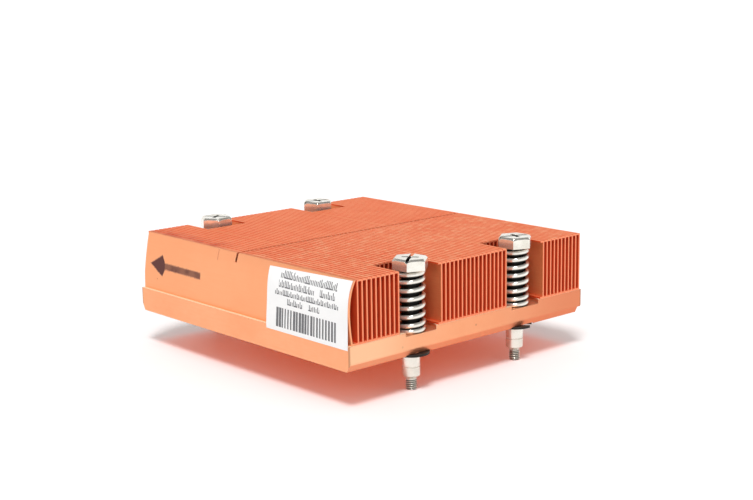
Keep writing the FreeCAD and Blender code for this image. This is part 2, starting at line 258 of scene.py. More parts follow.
# %% Rolled grain
def make_rolled_grain():
    """Fine streaks: noise squeezed in two directions, so that it runs long in the third."""
    tree, start, end = new_group(
        "Rolled grain",
        [("Stretch", VECTOR, (200.0, 4000.0, 4000.0))],
        [("Height", FLOAT), ("Mask", FLOAT)],
    )
    squeeze = add_node(tree, "VectorMath",
                       {0: object_place(tree), 1: start["Stretch"]}, operation="MULTIPLY")
    streaks = noise(squeeze["Vector"], 1.0, 4.0, 0.65)
    connect(streaks, end["Height"])
    connect(ramp(streaks, 0.4, 0.62), end["Mask"])
    return tree


rolled_grain = make_rolled_grain()
print("group:", rolled_grain.name)


# %% Worn edges
def make_worn_and_highlit_edges():
    """Compares the surface's normal with one rounded over a small radius: they differ at edges."""
    tree, start, end = new_group(
        "Worn edges",
        [("Radius", FLOAT, 0.0003), ("Spread", FLOAT, 0.12)],
        [("Mask", FLOAT), ("Normal", VECTOR)],
    )
    rounded = add_node(tree, "Bevel", {"Radius": start["Radius"]}, samples=6)
    plain = add_node(tree, "NewGeometry")
    alike = add_node(tree, "VectorMath",
                     {0: rounded["Normal"], 1: plain["Normal"]},
                     operation="DOT_PRODUCT")
    turn = maths("SUBTRACT", 1.0, alike["Value"])
    mask = maths("DIVIDE", turn, start["Spread"], clamp=True)
    connect(mask, end["Mask"])
    connect(rounded["Normal"], end["Normal"])
    return tree


worn_and_highlit_edges = make_worn_and_highlit_edges()
print("group:", worn_and_highlit_edges.name)


# %% Specks
def make_specks():
    """Small scattered marks: the middles of some cells of a Voronoi pattern."""
    tree, start, end = new_group(
        "Specks",
        [("Scale", FLOAT, 600.0), ("Share", FLOAT, 0.1), ("Size", FLOAT, 0.18)],
        [("Mask", FLOAT)],
    )
    cells = add_node(tree, "TexVoronoi",
                     {"Vector": object_place(tree), "Scale": start["Scale"],
                      "Randomness": 1.0})
    chosen = add_node(tree, "TexWhiteNoise", {"Vector": cells["Position"]}, noise_dimensions="3D")
    few = maths("LESS_THAN", chosen["Value"], start["Share"])
    near = maths("LESS_THAN", cells["Distance"], start["Size"])
    connect(times(few, near), end["Mask"])
    return tree


specks = make_specks()
print("group:", specks.name)

# %% [markdown]
# ## Building and changing a material
#
# Every finish starts from one shader, the Principled BSDF. Values that are the same all over are
# set on its own sockets, and the ones that vary are joined to masks. Later steps lay marks over a
# finish: each mixes a new colour by a mask into the one that the shader has so far.


# %% Material helpers
def shader_of(material):
    """The shader of a material."""
    return material.node_tree.nodes["Principled BSDF"]


def new_material(name, plain_values):
    """A material whose shader has these constant values; returns it, its shader and its tree."""
    material = bpy.data.materials.new(name)
    material.use_nodes = True
    shader = shader_of(material)
    for socket, value in plain_values.items():
        shader.inputs[socket].default_value = value
    return material, shader, material.node_tree


def place_group(tree, group, **values):
    """One use of a shared group with its own values, returning its outputs."""
    inputs = {name.replace("_", " "): value for name, value in values.items()}
    return add_node(tree, "Group", inputs, node_tree=group)


def drift_colour(shader, tone, second_tone, scale, amount):
    """Starts the colour with clouds of two tones, and returns their mask."""
    drifted = place_group(shader.id_data, tone_drift, Colour=tone, Second_colour=second_tone,
                          Scale=scale, Amount=amount)
    connect(drifted["Colour"], shader.inputs["Base Color"])
    return drifted["Mask"]


def set_roughness(shader, roughness, *masks):
    """Roughness from one value, raised or lowered by masks, each with its amount."""
    for mask, amount in masks:
        roughness = maths("ADD", roughness, times(mask, amount))
    connect(roughness, shader.inputs["Roughness"])


def set_bump(shader, height, strength, depth, **normal):
    """Fine relief from a height, over a normal with rounded edges where one is given."""
    inputs = {"Height": height, "Strength": strength, "Distance": depth, **normal}
    bump = add_node(shader.id_data, "Bump", inputs)
    connect(bump["Normal"], shader.inputs["Normal"])


def lay_colour(shader, mask, colour):
    """Mixes a colour into the one that the shader has so far."""
    socket = shader.inputs["Base Color"]
    connect(mix_colour(mask, socket.links[0].from_socket, colour), socket)


def lay_dull_colour(shader, mask, colour, roughness):
    """Ink, and painted shade: each hides the colour of the metal and dulls its shine."""
    lay_colour(shader, mask, colour)
    socket = shader.inputs["Roughness"]
    connect(maths("MAXIMUM", socket.links[0].from_socket, times(mask, roughness)), socket)


def lower_metalness(shader, mask, metalness, smooth=True):
    """Brings the metalness down to a value where the mask is one."""
    socket = shader.inputs["Metallic"]
    connect(ramp(mask, 0.0, 1.0, socket.default_value, metalness, smooth), socket)


def dress(material, *names):
    """Gives CAD nodes a finished material in place of their plain one."""
    for name in names:
        slots = nodes[name].data.materials
        slots.clear()
        slots.append(material)


print("material helpers ready")

# %% [markdown]
# ## Copper
#
# Copper is a bare metal, so most of its colour comes from what it reflects. It has lain about,
# though, and a thin dull film on it scatters some light as a matt surface does, so its metalness is
# a little below one. Rolled sheet and milled plate differ in grain and shine, not in kind, so one
# function makes every copper and takes the differences as values. Edges are brighter and smoother:
# partly wear, and partly a painted highlight for their rounding. A metal seen at a low angle turns
# white, and the film stops most of that, so the tint for low angles is a copper one.


# %% Copper recipe
def make_copper(name, tone, second_tone, edge_tone, metalness, roughness, stretch, grain_depth,
                edge_radius, drift_scale=40.0, drift=0.6, speck_share=0.04,
                grazing_tint=(1.0, 0.72, 0.55, 1)):
    """Bare copper: tone drift, grain, edge wear with a painted highlight, small dark specks."""
    material, shader, tree = new_material(
        name, {"Metallic": metalness, "Specular Tint": grazing_tint})
    clouds = drift_colour(shader, tone, second_tone, drift_scale, drift)
    grain = place_group(tree, rolled_grain, Stretch=stretch)
    edges = place_group(tree, worn_and_highlit_edges, Radius=edge_radius)
    marks = place_group(tree, specks, Share=speck_share)

    pit = tuple(0.45 * c for c in second_tone[:3]) + (1.0,)
    lay_colour(shader, times(grain["Mask"], 0.25), second_tone)
    # Brighter edges: partly wear, partly a painted highlight on their rounding.
    lay_colour(shader, times(edges["Mask"], 0.55), edge_tone)
    lay_colour(shader, times(marks["Mask"], 0.5), pit)
    set_roughness(shader, roughness, (clouds, 0.10), (edges["Mask"], -0.08))
    set_bump(shader, grain["Height"], 0.5, grain_depth, Normal=edges["Normal"])
    return material


# %% Copper of the base plate
plate_copper = make_copper(
    "milled_copper",
    tone=(0.96, 0.45, 0.245, 1), second_tone=(0.91, 0.38, 0.19, 1), edge_tone=(0.99, 0.60, 0.38, 1),
    metalness=0.8, roughness=0.42, stretch=(220.0, 2600.0, 1800.0), grain_depth=0.03 * MM,
    edge_radius=0.35 * MM,
)
print("base plate in", plate_copper.name)

# %% [markdown]
# Light and shade are painted on the plate. Its top face is painted paler and less metallic, so it
# doesn't mirror the fins: a painted highlight along the ledge under the end plate. The bevels along
# the bottom are darker, a painted shade, and the upright corners have a thin dark line, a painted
# reflection of their rounding. The end face is painted lighter near the label and darker towards
# the far corner, a painted highlight and shade. Each is a mask made from the place or from the
# direction that the surface faces.

# %% Painted light and shade on the base plate
BEVEL_TOP = base_low.z + 1.6 * MM
# Sizes and tones of the painted light and shade on the plate: a highlight on the top face, shade on
# the bevels, dark lines on the corners, and a lit and a shaded end face.
CORNER_LINE_WIDTH, CORNER_LINE_STRENGTH = 0.22 * MM, 0.6
END_LIGHT_AND_SHADE_STRENGTH = 0.85
TOP_FACE_METALNESS = 0.15
TOP_HIGHLIGHT_TONE = (1.0, 0.74, 0.50, 1)
BEVEL_SHADE_TONE = (0.78, 0.24, 0.12, 1)
CORNER_LINE_TONE = (0.34, 0.14, 0.07, 1)
END_HIGHLIGHT_TONE = (0.99, 0.60, 0.36, 1)
END_SHADE_TONE = (0.75, 0.24, 0.12, 1)


def plate_painted_light_and_shade(shader):
    """Painted highlight and shade: paler top, darker bevels and corners, end face light to dark."""
    tree = shader.id_data
    x, y, z = parts_of(object_place(tree))
    facing_x, _, facing_z = facing(tree)
    # Painted highlight: the top face paler and less metallic.
    top = times(ramp(facing_z, 0.5, 0.8), ramp(z, base_high.z - 0.1 * MM, base_high.z - 0.05 * MM))
    # Painted shade on the bevels along the bottom, which face down.
    bevel_shade = times(ramp(facing_z, -0.5, -0.2, 0.75, 0.0),
                  ramp(z, BEVEL_TOP, BEVEL_TOP + 0.1 * MM, 1.0, 0.0))
    # A painted dark line on the upright corners, for the dark reflection of their rounding.
    corner_line = CORNER_LINE_STRENGTH
    for value, low, high in ((x, base_low.x, base_high.x), (y, base_low.y, base_high.y)):
        half = (high - low) / 2
        out = distance_from(value, (low + high) / 2)
        corner_line = times(corner_line, ramp(out, half - 2 * CORNER_LINE_WIDTH, half - CORNER_LINE_WIDTH))
    # Painted light and shade on the end face: lighter near the label, darker towards the far corner.
    end_face = ramp(facing_x, *FACED)
    end_highlight = times(end_face, ramp(y, base_low.y + 6 * MM, base_low.y + 28 * MM, END_LIGHT_AND_SHADE_STRENGTH, 0.0))
    end_shade = times(end_face,
                      ramp(y, base_high.y - 48 * MM, base_high.y - 4 * MM, 0.0, END_LIGHT_AND_SHADE_STRENGTH))
    for mask, tone in ((end_highlight, END_HIGHLIGHT_TONE), (end_shade, END_SHADE_TONE), (top, TOP_HIGHLIGHT_TONE),
                       (bevel_shade, BEVEL_SHADE_TONE), (corner_line, CORNER_LINE_TONE)):
        lay_colour(shader, mask, tone)
    lower_metalness(shader, top, TOP_FACE_METALNESS)


plate_painted_light_and_shade(shader_of(plate_copper))
dress(plate_copper, "base_plate")
print("bevels up to", round(1000 * (BEVEL_TOP - base_low.z), 2), "mm above the bottom")

# %% Copper of the folded fins
fin_copper = make_copper(
    "folded_copper",
    tone=(0.97, 0.30, 0.12, 1), second_tone=(0.91, 0.21, 0.08, 1), edge_tone=(0.98, 0.40, 0.21, 1),
    metalness=0.6, roughness=0.45, stretch=(150.0, 900.0, 3500.0), grain_depth=0.02 * MM,
    edge_radius=0.12 * MM, drift_scale=70.0, drift=0.7, grazing_tint=(1.0, 0.52, 0.36, 1),
)
print("fins in", fin_copper.name)

# %% [markdown]
# ## The top of the stack
#
# Seen from above, the stack is one face made of many flanges. Flux and dust have settled in the
# hairline gaps between them, and the dark lines there are also painted shade of the gaps. The gaps
# are narrower on the front side of the slots, where the flanges were pressed flatter, and away from
# the label, so the lines are fainter there. The first flanges by the end plate have been knocked
# down, and their shade under the end plate's edge is painted. Lighter flecks on the flanges are
# painted glints. All three marks are worked out from the place on the stack, and then change the
# colour of the fins' copper. Dust makes the top duller than the walls, so its metalness is lower.

# %% Where the gaps and the slots are
fin_boxes = [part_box(n) for n in fin_names if n.startswith("middle_bank_fin_")]
FIN_PITCH = (fin_boxes[-1][0].y - fin_boxes[0][0].y) / (len(fin_boxes) - 1)
GAP_MIDDLE = (fin_boxes[0][1].y + fin_boxes[1][0].y) / 2
STACK_TOP = fin_boxes[0][1].z
SLOT_ROW = plate_low.x + 42.3 * MM
# Painted shade of the dented first flanges reaches this far; then the tones of the lines of flux and
# painted shade, and of the painted glints.
DENT_SHADE_END = plate_low.x + 34 * MM
FLUX_AND_SHADE_TONE = (0.58, 0.08, 0.03, 1)
GLINT_TONE = (0.99, 0.47, 0.24, 1)
WANDER_SCALE, GLINT_SCALE = 260.0, 480.0
DUSTY_METALNESS = 0.38
print("pitch", round(1000 * FIN_PITCH, 3), "mm, a gap at y =", round(1000 * GAP_MIDDLE, 2), "mm")


# %% Flux, painted shade and painted glints on the top
def top_flux_shade_and_glints(shader):
    """Lines of flux and painted shade, painted glints, painted shade on the knocked first row."""
    place = object_place(shader.id_data)
    x, y, z = parts_of(place)
    on_top = ramp(z, STACK_TOP - 0.12 * MM, STACK_TOP - 0.04 * MM)
    wander = noise(place, WANDER_SCALE)

    # Dark hairlines in the gaps between flanges: settled flux, and painted shade of the gaps.
    phase = maths("DIVIDE", maths("SUBTRACT", y, GAP_MIDDLE), FIN_PITCH)
    from_gap = distance_from(phase, maths("ROUND", phase))
    lines = times(
        ramp(from_gap, 0.10, 0.24, 1.0, 0.0),
        ramp(x, SLOT_ROW, SLOT_ROW + 3 * MM, 0.08, 0.62),
        ramp(y, plate_high.y + 12 * MM, plate_high.y + 50 * MM, 1.0, 0.4),
        ramp(wander, 0.3, 0.6, 0.5, 1.0))
    # Painted shade on the first flanges, dented below the end plate's edge.
    dent_shade = times(
        between(x, plate_low.x, DENT_SHADE_END, 4 * MM),
        ramp(y, plate_high.y + 1 * MM, plate_high.y + 7 * MM, 1.0, 0.0),
        ramp(wander, 0.4, 0.6, 0.35, 0.8))

    # Painted glints: lighter flecks on the flanges, more of them past the slots.
    glints = ramp(noise(place, GLINT_SCALE, 3.0, 0.6), 0.50, 0.62)
    share = ramp(x, SLOT_ROW, SLOT_ROW + 6 * MM, 0.12, 0.70)
    lay_colour(shader, times(glints, share, on_top), GLINT_TONE)
    lay_colour(shader, times(maths("MAXIMUM", lines, dent_shade), on_top), FLUX_AND_SHADE_TONE)
    lower_metalness(shader, on_top, DUSTY_METALNESS)


top_flux_shade_and_glints(shader_of(fin_copper))
print("slots at x =", round(1000 * SLOT_ROW, 1), "mm")

# %% [markdown]
# Inside the gaps the walls are painted dark red: a painted shade for the deep, narrow gaps, where
# light bounces between copper walls. Their cut ends at the mouths of the gaps are painted paler, a
# painted highlight. The direction that a surface faces tells them apart: sideways for the walls of
# the gaps, and along the fins for the cut ends. The outer walls of each bank face sideways too, but
# stand in no gap, so the painted shade leaves them out. The first sheet's wall lies behind its
# flanges, a sheet's thickness in from its back.

# %% Walls of the gaps and cut ends
SHEET = 0.45 * MM
WALL_TOLERANCE = 0.06 * MM
# Tones of the painted shade on the gap walls and of the painted highlight on the cut ends:
GAP_WALL_SHADE_TONE, GAP_WALL_SHADE_STRENGTH = (0.88, 0.095, 0.025, 1), 0.85
CUT_END_HIGHLIGHT_TONE, CUT_END_HIGHLIGHT_STRENGTH = (0.99, 0.34, 0.19, 1), 0.75
# Outer walls of the banks stand in no gap and get no painted shade.
bank_backs = [[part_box(n)[1].y for n in fin_names if n.startswith(bank)]
              for bank in ("label_bank", "middle_bank", "plain_bank")]
OUTER_WALLS = sorted([min(backs) - SHEET for backs in bank_backs[1:]]
                     + [max(backs) for backs in bank_backs])
print("clean walls at y =", [round(1000 * wall, 2) for wall in OUTER_WALLS], "mm")


def gap_shade_and_cut_end_highlight(shader):
    """Painted shade on the walls inside the gaps and a painted highlight on the cut ends."""
    tree = shader.id_data
    _, y, _ = parts_of(object_place(tree))
    facing_x, facing_y, _ = facing(tree)
    # Painted shade, dark red, on the walls inside the gaps.
    walls = ramp(maths("ABSOLUTE", facing_y), *FACED, 0.0, GAP_WALL_SHADE_STRENGTH)
    for wall in OUTER_WALLS:
        walls = times(walls, maths("GREATER_THAN", distance_from(y, wall), WALL_TOLERANCE))
    # Painted highlight on the cut ends at the mouths of the gaps.
    ends = ramp(maths("ABSOLUTE", facing_x), *FACED, 0.0, CUT_END_HIGHLIGHT_STRENGTH)
    lay_colour(shader, walls, GAP_WALL_SHADE_TONE)
    lay_colour(shader, ends, CUT_END_HIGHLIGHT_TONE)


gap_shade_and_cut_end_highlight(shader_of(fin_copper))
dress(fin_copper, *fin_names)
print(len(fin_names), "fin nodes in", fin_copper.name)

# %% [markdown]
# ## The end plate and its stamped arrow
#
# The outermost sheet has a dark ink arrow that shows which end faces the front of the server. Ink
# is not a shape but a stain, so it is drawn in the material: a mask, worked out from the place on
# the sheet, is one where ink lies. A straight shaft and a head are enough. The head opens from its
# tip to its widest place and closes again steeply. A little noise on the coordinates gives the soft
# edge of a rubber stamp.

# %% Arrow sizes, measured from the end plate's box
ARROW_TIP = plate_low.x + 2.9 * MM
ARROW_TAIL = ARROW_TIP + 24.5 * MM
ARROW_Z = plate_low.z + 7.3 * MM
HEAD_LENGTH = 7.3 * MM
HEAD_HALF = 2.9 * MM
HEAD_WIDEST = 0.78
HEAD_CLOSING = 1.6
SHAFT_HALF = 0.9 * MM
STAMP_WOBBLE, WOBBLE_SCALE = 0.5 * MM, 1400.0
PATCH_SCALE = 300.0
INK_TONE, INK_ROUGHNESS = (0.075, 0.022, 0.028, 1), 0.85
print("arrow from", round(1000 * ARROW_TIP, 1), "to", round(1000 * ARROW_TAIL, 1), "mm")


# %% The share of ink
def arrow_mask(tree):
    """The share of ink at a place on the end plate."""
    place = object_place(tree)
    x, _, z = parts_of(place)
    shift = times(maths("SUBTRACT", noise(place, WOBBLE_SCALE), 0.5), STAMP_WOBBLE)
    x = maths("ADD", x, shift)
    off_axis = distance_from(maths("ADD", z, shift), ARROW_Z)
    head_end = ARROW_TIP + HEAD_LENGTH
    shaft = times(
        between(x, head_end - 0.3 * MM, ARROW_TAIL, 0.12 * MM),
        ramp(off_axis, SHAFT_HALF - 0.3 * MM, SHAFT_HALF + 0.3 * MM, 1.0, 0.0))
    from_tip = maths("SUBTRACT", x, ARROW_TIP)
    opening = times(from_tip, HEAD_HALF / (HEAD_WIDEST * HEAD_LENGTH))
    to_end = maths("SUBTRACT", HEAD_LENGTH, from_tip)
    closing = maths("ADD", times(to_end, HEAD_CLOSING), SHAFT_HALF)
    inside = maths("SUBTRACT", maths("MINIMUM", opening, closing), off_axis)
    head = times(ramp(inside, -0.25 * MM, 0.35 * MM),
                 ramp(x, head_end - 0.2 * MM, head_end + 0.2 * MM, 1.0, 0.0))
    thin = ramp(noise(place, PATCH_SCALE, 2.0), 0.35, 0.65, 0.78, 0.90)
    return maths("MAXIMUM", times(shaft, thin), times(head, 0.96))


# %% Copper of the end plate, with the ink
sheet_copper = make_copper(
    "rolled_copper",
    tone=(0.97, 0.43, 0.22, 1), second_tone=(0.95, 0.39, 0.19, 1), edge_tone=(0.99, 0.58, 0.36, 1),
    metalness=0.8, roughness=0.46, stretch=(120.0, 1500.0, 2400.0), grain_depth=0.01 * MM,
    edge_radius=0.15 * MM, drift=0.4, speck_share=0.02,
)
ink = arrow_mask(sheet_copper.node_tree)
lay_dull_colour(shader_of(sheet_copper), ink, INK_TONE, INK_ROUGHNESS)
lower_metalness(shader_of(sheet_copper), ink, 0.0, smooth=False)
dress(sheet_copper, "end_plate")
print("end plate in", sheet_copper.name)

# %% [markdown]
# ## The paper label
#
# The label is a sticker of coated paper, printed with a few lines of small type above a row of
# bars. Here the type becomes rows of plain upright strokes, tall or short, and the bars are of
# random widths, so that the print says nothing. Both come from one idea: cut a line into short
# cells and give each a random number, which sets a stroke's height or a bar's width. Lengths are
# in metres, places are shares of the label, and widths are shares of a cell.

# %% Sizes, shares and seeds of the print
label_size = label_high - label_low
LINE_BASES = (0.815, 0.675, 0.555, 0.43)
LINE_STARTS = (0.155, 0.15, 0.105, 0.265)
LINE_ENDS = (0.86, 0.845, 0.89, 0.665)
LINE_TALL = tuple(h * MM for h in (1.9, 1.8, 1.45, 1.6))
WORD_CELL = 2.1 * MM
STROKE_CELL = 0.62 * MM
STROKE_WIDE, STROKE_SHORT = 0.48, 0.62
FOOT_TALL, FOOT_CHANCE = 0.3 * MM, 0.55
WORD_CHANCE = 0.9
BAR_LOW, BAR_HIGH = 0.068, 0.365
BAR_START, BAR_END = 0.125, 0.865
BAR_CELL = 1.12 * MM
BAR_THIN, BAR_SPREAD, BAR_INK = 0.33, 0.55, 0.95
BAR_SEED, WORD_SEED, STROKE_SEED = 17.5, 40.5, 7.5
WORD_SEED_STEP, STROKE_SEED_STEP = 31, 53
print("label", [round(1000 * s, 2) for s in label_size], "mm,", len(LINE_BASES), "printed lines")


# %% Cells and strokes
def cells_along(x, cell, seed):
    """Cuts x into cells; returns a random number for each and the place within it, both 0 to 1."""
    scaled = maths("DIVIDE", x, cell)
    index = maths("FLOOR", scaled)
    number = add_node(x.id_data, "TexWhiteNoise", {"W": maths("ADD", index, seed)},
                      noise_dimensions="1D")
    return number["Value"], maths("SUBTRACT", scaled, index)


def small_type(x, z, row, base):
    """A row of upright strokes that stand on one line, tall or short, with gaps like words."""
    tall = LINE_TALL[row]
    word, _ = cells_along(x, WORD_CELL, WORD_SEED + WORD_SEED_STEP * row)
    chance, within = cells_along(x, STROKE_CELL, STROKE_SEED + STROKE_SEED_STEP * row)
    height = ramp(chance, 0.3, 0.7, STROKE_SHORT * tall, tall)
    above = maths("SUBTRACT", z, base)
    stroke = times(maths("GREATER_THAN", above, 0.0), maths("LESS_THAN", above, height))
    upright = maths("LESS_THAN", within, STROKE_WIDE)
    foot = times(maths("LESS_THAN", above, FOOT_TALL), maths("GREATER_THAN", chance, FOOT_CHANCE))
    return times(stroke, maths("MAXIMUM", upright, foot), maths("LESS_THAN", word, WORD_CHANCE))


print("strokes about", round(1000 * STROKE_CELL, 2), "mm apart")


# %% Print mask
def across(share):
    """X at a share of the label's length."""
    return label_low.x + share * label_size.x


def up_label(share):
    """Z at a share of the label's height."""
    return label_low.z + share * label_size.z


def print_mask(tree):
    """The share of ink at a place on the label."""
    x, _, z = parts_of(object_place(tree))
    chance, within = cells_along(x, BAR_CELL, BAR_SEED)
    width = maths("ADD", times(chance, BAR_SPREAD), BAR_THIN)
    ink = times(maths("LESS_THAN", within, width), BAR_INK,
                between(z, up_label(BAR_LOW), up_label(BAR_HIGH), 0.04 * MM),
                between(x, across(BAR_START), across(BAR_END), 0.02 * MM))
    for row, base in enumerate(LINE_BASES):
        start, end = across(LINE_STARTS[row]), across(LINE_ENDS[row])
        line = times(small_type(x, z, row, up_label(base)), between(x, start, end, 0.05 * MM))
        ink = maths("MAXIMUM", ink, line)
    return ink


# %% Paper material
PAPER_TONE, PAPER_SHADE = (0.93, 0.925, 0.92, 1), (0.88, 0.875, 0.87, 1)
PRINT_TONE, PRINT_STRENGTH = (0.045, 0.045, 0.055, 1), 0.93


def make_label_paper():
    """Coated white paper with dark print, slightly uneven."""
    material, shader, tree = new_material("label_paper", {"Specular IOR Level": 0.4})
    clouds = drift_colour(shader, PAPER_TONE, PAPER_SHADE, 120.0, 0.5)
    lay_colour(shader, times(print_mask(tree), PRINT_STRENGTH), PRINT_TONE)
    set_roughness(shader, 0.42, (clouds, 0.15))
    fibres = place_group(tree, rolled_grain, Stretch=(2500.0, 2500.0, 2500.0))
    set_bump(shader, fibres["Height"], 0.25, 0.01 * MM)
    return material


label_paper = make_label_paper()
dress(label_paper, "paper_label")
print("label in", label_paper.name)

# %% [markdown]
# ## Nickel and black steel
#
# The screws and springs are steel with a bright nickel plate. Nickel is a little warmer and darker
# than chrome. What sells it is contrast: it mirrors the white floor and the copper beside it, so
# it is kept smooth, with faint marks. Shade is painted where it falls deep: on the shank inside the
# spring, in the driver recess, in the thread's grooves, on the inner side of the wire and under
# each turn. The retaining rings are black oxide steel.
#
# Where the painted shade lies depends on the distance from a screw's axis and on the height. The
# four screws stand in a rectangle, so one group serves them all: it folds the rectangle onto one
# corner.

# %% Distance from a screw's axis
screw_boxes = [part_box(f"captive_screw_{place}") for place in PLACES]
screw_centres = [(low + high) / 2 for low, high in screw_boxes]
SCREW_TIP, SCREW_TOP = screw_boxes[0][0].z, screw_boxes[0][1].z
middle = sum(screw_centres, Vector()) / len(screw_centres)
half_spacing = Vector([abs(v) for v in screw_centres[0] - middle])


def make_axis_distance():
    """Folds the four screws onto one, then measures the distance from its axis, and gives z."""
    tree, _, end = new_group("Screw axis distance", [], [("Distance", FLOAT), ("Z", FLOAT)])
    x, y, z = parts_of(object_place(tree))
    squares = []
    for value, centre, half in ((x, middle.x, half_spacing.x), (y, middle.y, half_spacing.y)):
        folded = maths("SUBTRACT", distance_from(value, centre), half)
        squares.append(times(folded, folded))
    connect(maths("SQRT", maths("ADD", *squares)), end["Distance"])
    connect(z, end["Z"])
    return tree


axis_distance = make_axis_distance()
print("group:", axis_distance.name, "half spacing", [round(1000 * v, 2) for v in half_spacing])

# %% Where painted shade lies
SHANK = 2.3 * MM
HEAD_HEIGHT = 3.0 * MM
THREAD_LENGTH = 2.9 * MM
RECESS_REACH, RECESS_LOW = 3.6 * MM, 2.6 * MM
THREAD_ROOT, THREAD_CREST = 1.24 * MM, 1.42 * MM
WIRE_INSIDE, WIRE_UNDERSIDE = (2.7 * MM, 3.1 * MM), (-0.62, -0.30)
# Tone of the painted shade in the screws' and springs' hollows and under the turns:
PAINTED_SHADE_TONE, PAINTED_SHADE_ROUGHNESS = (0.012, 0.011, 0.010, 1), 0.5


def screw_painted_shade(tree):
    """Painted shade on the shank inside the spring, in the recess and in the thread's grooves."""
    near = place_group(tree, axis_distance)
    distance, z = near["Distance"], near["Z"]
    inside_spring = times(
        ramp(distance, SHANK + 0.1 * MM, SHANK + 0.15 * MM, 1.0, 0.0),
        between(z, base_low.z + 3 * MM, SCREW_TOP - HEAD_HEIGHT - 0.1 * MM, 0.1 * MM))
    recess = times(
        ramp(distance, RECESS_REACH - 0.1 * MM, RECESS_REACH + 0.1 * MM, 1.0, 0.0),
        between(z, SCREW_TOP - RECESS_LOW, SCREW_TOP - 0.12 * MM, 0.08 * MM))
    thread_top = SCREW_TIP + THREAD_LENGTH
    in_groove = times(ramp(distance, THREAD_ROOT, THREAD_CREST, 0.9, 0.12),
                      ramp(z, thread_top, thread_top + 0.2 * MM, 1.0, 0.0))
    return maths("MAXIMUM", maths("MAXIMUM", inside_spring, recess), in_groove)


def spring_painted_shade(tree):
    """Painted shade on the inner side and under each turn of the spring."""
    distance = place_group(tree, axis_distance)["Distance"]
    # Painted shade on the inner side of the wire and on the underside of each turn.
    inner = ramp(distance, *WIRE_INSIDE, 1.0, 0.0)
    below = ramp(facing(tree, "Normal")[2], *WIRE_UNDERSIDE, 0.95, 0.0)
    return maths("MAXIMUM", inner, below)


# The height up to which the shank's painted shade reaches.
print("shank grease up to z =", round(1000 * (SCREW_TOP - HEAD_HEIGHT), 2), "mm")


# %% Nickel and black oxide recipes
OXIDE_TONE, OXIDE_SHADE = (0.012, 0.011, 0.01, 1), (0.03, 0.025, 0.02, 1)
BARE_STEEL_TONE = (0.22, 0.2, 0.18, 1)


def make_nickel(name, tone, second_tone, metalness, roughness, stretch, edge_radius, painted_shade_of):
    """Bright plated steel with faint marks, slightly dulled clouds and painted shade."""
    material, shader, tree = new_material(name, {"Metallic": metalness})
    clouds = drift_colour(shader, tone, second_tone, 260.0, 0.8)
    grain = place_group(tree, rolled_grain, Stretch=stretch)
    edges = place_group(tree, worn_and_highlit_edges, Radius=edge_radius)
    set_roughness(shader, roughness, (clouds, 0.12))
    set_bump(shader, grain["Height"], 0.3, 0.01 * MM, Normal=edges["Normal"])
    lay_dull_colour(shader, painted_shade_of(tree), PAINTED_SHADE_TONE, PAINTED_SHADE_ROUGHNESS)
    return material


def make_black_oxide():
    """Black oxide on spring steel: nearly black, half matt, with metal rubbed through at edges."""
    material, shader, tree = new_material(
        "black_oxide", {"Metallic": 0.3, "Specular IOR Level": 0.3})
    clouds = drift_colour(shader, OXIDE_TONE, OXIDE_SHADE, 400.0, 0.8)
    edges = place_group(tree, worn_and_highlit_edges, Radius=0.1 * MM)
    lay_colour(shader, times(edges["Mask"], 0.35), BARE_STEEL_TONE)
    set_roughness(shader, 0.35, (clouds, 0.2))
    connect(edges["Normal"], shader.inputs["Normal"])
    return material


screw_nickel = make_nickel(
    "screw_nickel", (0.93, 0.905, 0.83, 1), (0.70, 0.66, 0.57, 1), metalness=0.8, roughness=0.16,
    stretch=(900.0, 900.0, 6000.0), edge_radius=0.12 * MM, painted_shade_of=screw_painted_shade)
spring_nickel = make_nickel(
    "spring_nickel", (0.95, 0.93, 0.86, 1), (0.78, 0.74, 0.66, 1), metalness=0.70, roughness=0.13,
    stretch=(1500.0, 1500.0, 1500.0), edge_radius=0.05 * MM, painted_shade_of=spring_painted_shade)
black_oxide = make_black_oxide()
dress(black_oxide, *[f"retaining_ring_{place}" for place in PLACES])
print("plated metals:", screw_nickel.name, spring_nickel.name, black_oxide.name)

# %% [markdown]
# ## Springs of round wire
#
# In the engineering model each spring is a flat-sided wire in straight steps. Close up that shows,
# so each is replaced by a smooth one: a circle carried along a helix. The real spring's last turn
# at each end lies close to the next and is ground flat, so the helix climbs slowly there, and the
# points past the flat are pressed back to it.
#
# Springs and screws are both a skin over rings of points, so two helpers serve both: one joins the
# rings, and one makes the object.


# %% Mesh helpers
def skin(mesh, rings):
    """Joins neighbouring rings of points with faces and closes both ends."""
    count = len(rings[0])
    for lower, upper in zip(rings, rings[1:]):
        for k in range(count):
            after = (k + 1) % count
            mesh.faces.new((lower[k], lower[after], upper[after], upper[k]))
    mesh.faces.new(rings[0][::-1])
    mesh.faces.new(rings[-1])


def add_object(name, mesh):
    """An object in the scene with a finished bmesh as its shape."""
    data = bpy.data.meshes.new(name)
    mesh.to_mesh(data)
    mesh.free()
    made = bpy.data.objects.new(name, data)
    bpy.context.scene.collection.objects.link(made)
    return made


print("mesh helpers ready")

# %% Spring sizes
WIRE = 1.25 * MM
WIRE_SIDES = 14
COILS = dict(zip(PLACES, (7.9, 7.8, 7.72, 8.0)))
START_ANGLES = dict(zip(PLACES, (140.0, 250.0, 259.0, 215.0)))
COIL_RADIUS = 3.175 * MM
CLOSED_TURNS = 1.0
CLOSED_PITCH = 1.3 * MM
GROUND = 0.35 * WIRE
STEPS_A_TURN = 48
SLOPE_SPAN = 0.02


